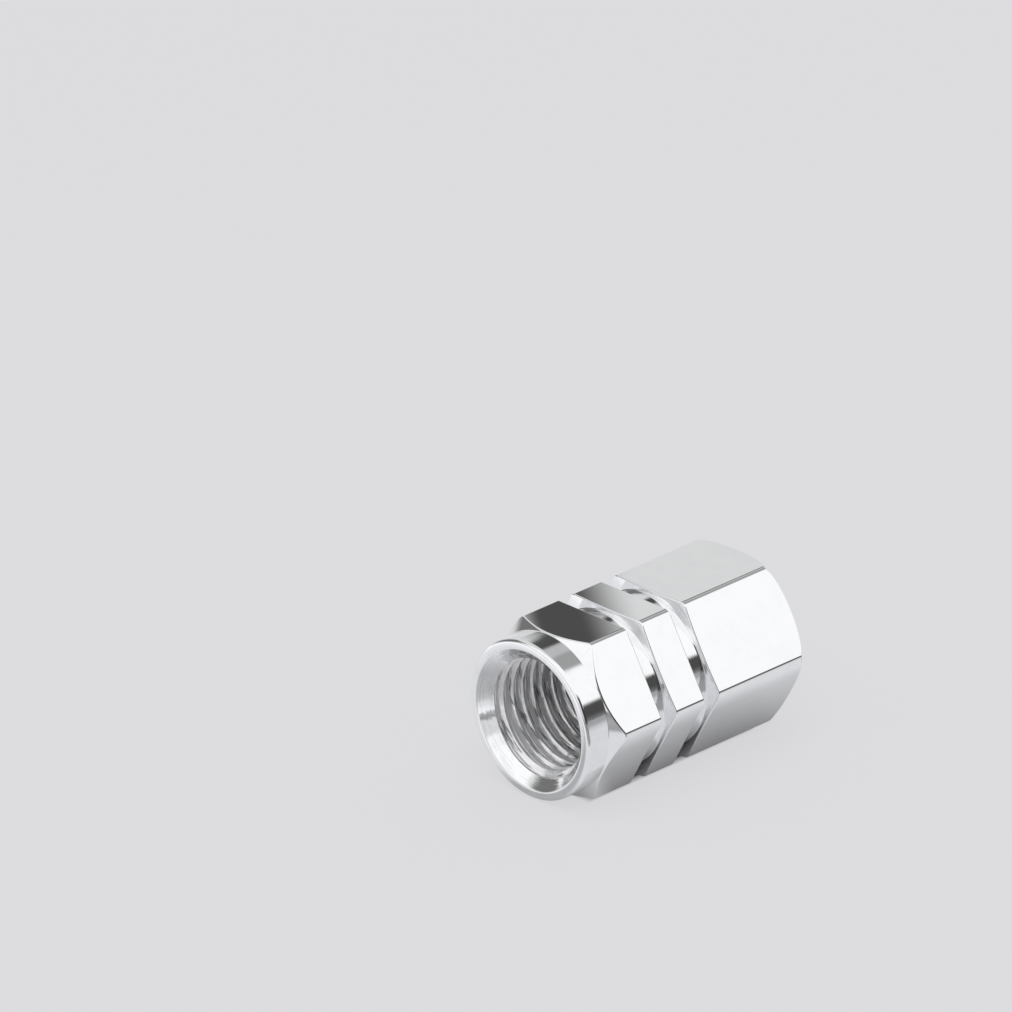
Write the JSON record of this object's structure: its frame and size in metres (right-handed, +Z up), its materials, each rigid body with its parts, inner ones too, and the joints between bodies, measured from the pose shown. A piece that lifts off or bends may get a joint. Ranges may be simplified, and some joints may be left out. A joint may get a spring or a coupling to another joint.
{
  "type": "tyre valve cap",
  "caption": "Hexagonal metal dust cap for a tyre valve: round collar, threaded blind bore, two turned grooves, rounded head and a rubber washer inside.",
  "frame": {"origin": "on the ground under the middle of the cap, which lies on one of its six flats", "axes": "+Z up; the cap's axis runs along Y, 5 mm above the ground, with the mouth towards -Y and the head towards +Y"},
  "size_m": [0.0114, 0.0172, 0.01],
  "materials": {
    "polished_metal": "mirror polished, silver",
    "seal_rubber": "matt moulded rubber, black"
  },
  "bodies": {
    "root": {"cap_body": "polished_metal", "sealing_washer": "seal_rubber"}
  },
  "joints": []
}
